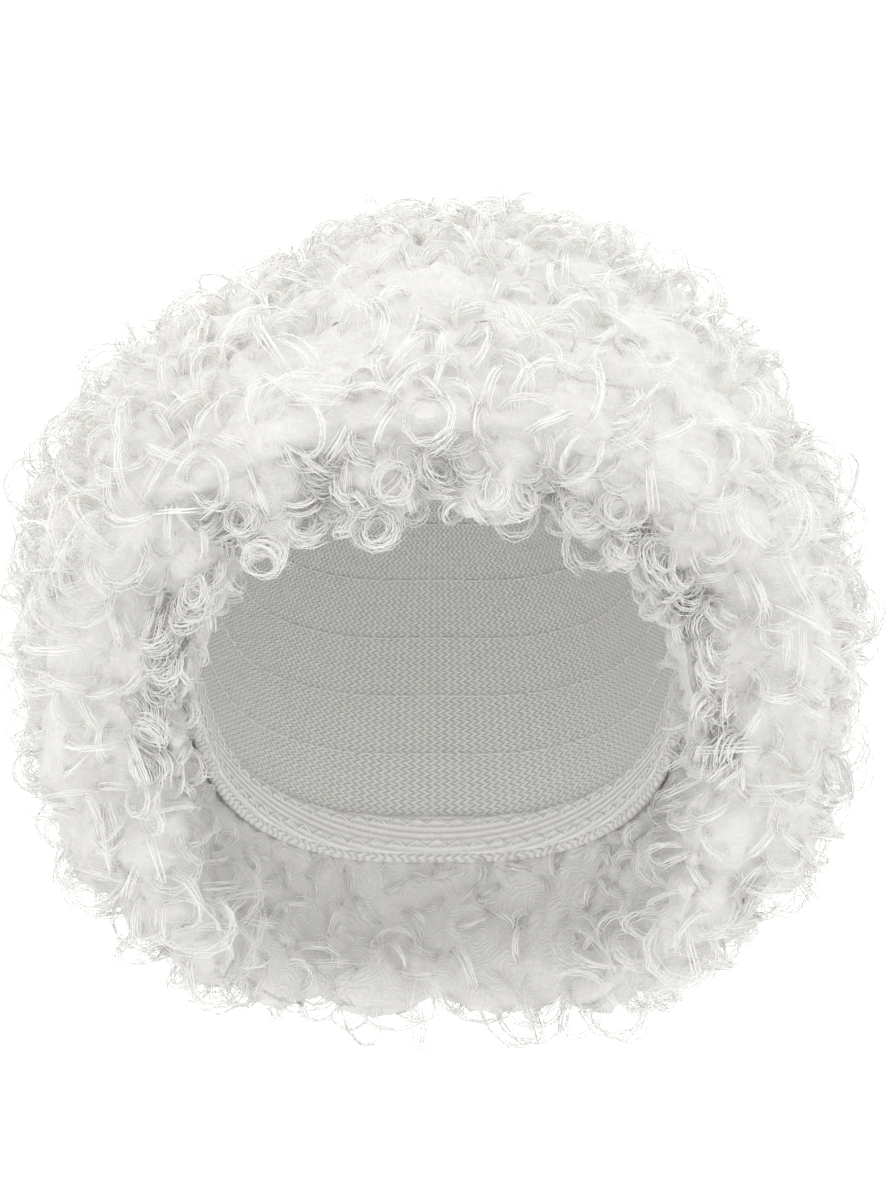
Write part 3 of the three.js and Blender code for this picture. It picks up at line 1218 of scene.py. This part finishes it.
def floor_material():
    """Plain pale floor."""
    material, writer, shader = new_material("pale floor", 0.8)
    place = writer.add("ShaderNodeTexCoord").outputs["Object"]
    grain = writer.noise(place, 3.0, 2.0)
    paint(writer, shader, grain.outputs[0], (0.84, 0.84, 0.84, 1), (0.87, 0.87, 0.865, 1))
    return material


def area_light(name, place, target, size, power):
    """A large square light that looks at a target."""
    light = bpy.data.lights.new(name, "AREA")
    light.size = size
    light.energy = power
    obj = bpy.data.objects.new(name, light)
    bpy.context.scene.collection.objects.link(obj)
    obj.location = place
    obj.rotation_euler = (target - place).to_track_quat("-Z", "Y").to_euler()


class WIG_OT_stage(bpy.types.Operator):
    """Makes the camera, the lights and the pale floor"""

    bl_idname = "wig.stage"
    bl_label = "Studio"

    def execute(self, context):
        settings = context.scene.wig_stage
        scene = context.scene
        scene.view_settings.view_transform = "Standard"
        forward = Vector((0, math.cos(settings.elevation), -math.sin(settings.elevation)))
        side = Vector((1, 0, 0))
        up = side.cross(forward)
        pixel = settings.picture_rise / PICTURE_HEIGHT
        aim = (PICTURE_WIDTH / 2 - CROWN_X) * pixel * side
        aim -= (PICTURE_HEIGHT / 2 - CROWN_Y) * pixel * up
        camera = bpy.data.objects.new("camera", bpy.data.cameras.new("camera"))
        scene.collection.objects.link(camera)
        camera.location = aim - forward * settings.distance
        camera.rotation_euler = forward.to_track_quat("-Z", "Y").to_euler()
        camera.data.sensor_width = SENSOR * 1000
        camera.data.lens = SENSOR * 1000 * settings.distance / settings.picture_rise
        scene.camera = camera

        bm = bmesh.new()
        bmesh.ops.create_grid(bm, x_segments=1, y_segments=1, size=settings.floor_span / 2)
        floor = new_object("floor", mesh_of(bm, "floor"))
        floor.location.z = -settings.floor_drop
        floor.data.materials.append(floor_material())

        world = bpy.data.worlds.new("studio")
        world.use_nodes = True
        backdrop = world.node_tree.nodes["Background"]
        backdrop.inputs["Color"].default_value = (1, 1, 1, 1)
        backdrop.inputs["Strength"].default_value = settings.sky
        scene.world = world
        area_light("key", Vector((-0.9, -1.5, 0.9)), PUFF_CENTRE, 1.2, settings.key)
        return {"FINISHED"}


class WIG_PT_panel(bpy.types.Panel):
    """Lists the wig's pieces and their sizes"""

    bl_label = "Clown Wig"
    bl_space_type = "VIEW_3D"
    bl_region_type = "UI"
    bl_category = "Clown Wig"

    def draw(self, context):
        for settings, operators in (
            (context.scene.wig_stage, (WIG_OT_stage,)),
            (context.scene.wig_cap, (WIG_OT_cap, WIG_OT_hem, WIG_OT_band, WIG_OT_stitches)),
            (context.scene.wig_curls, (WIG_OT_curls, WIG_OT_ringlets)),
        ):
            box = self.layout.box()
            for name in settings.__annotations__:
                box.prop(settings, name)
            for operator in operators:
                box.operator(operator.bl_idname)


CLASSES = (
    WigCurlSettings,
    WigCapSettings,
    WigStageSettings,
    WIG_OT_stage,
    WIG_OT_cap,
    WIG_OT_hem,
    WIG_OT_band,
    WIG_OT_stitches,
    WIG_OT_curls,
    WIG_OT_ringlets,
    WIG_PT_panel,
)


def register():
    for cls in CLASSES:
        bpy.utils.register_class(cls)
    bpy.types.Scene.wig_curls = PointerProperty(type=WigCurlSettings)
    bpy.types.Scene.wig_cap = PointerProperty(type=WigCapSettings)
    bpy.types.Scene.wig_stage = PointerProperty(type=WigStageSettings)


def unregister():
    del bpy.types.Scene.wig_stage
    del bpy.types.Scene.wig_cap
    del bpy.types.Scene.wig_curls
    for cls in reversed(CLASSES):
        bpy.utils.unregister_class(cls)


def main():
    register()
    bpy.ops.wig.stage()
    bpy.ops.wig.cap()
    bpy.ops.wig.hem()
    bpy.ops.wig.band()
    bpy.ops.wig.stitches()
    bpy.ops.wig.curls()
    bpy.ops.wig.ringlets()


if __name__ == "__main__":
    main()
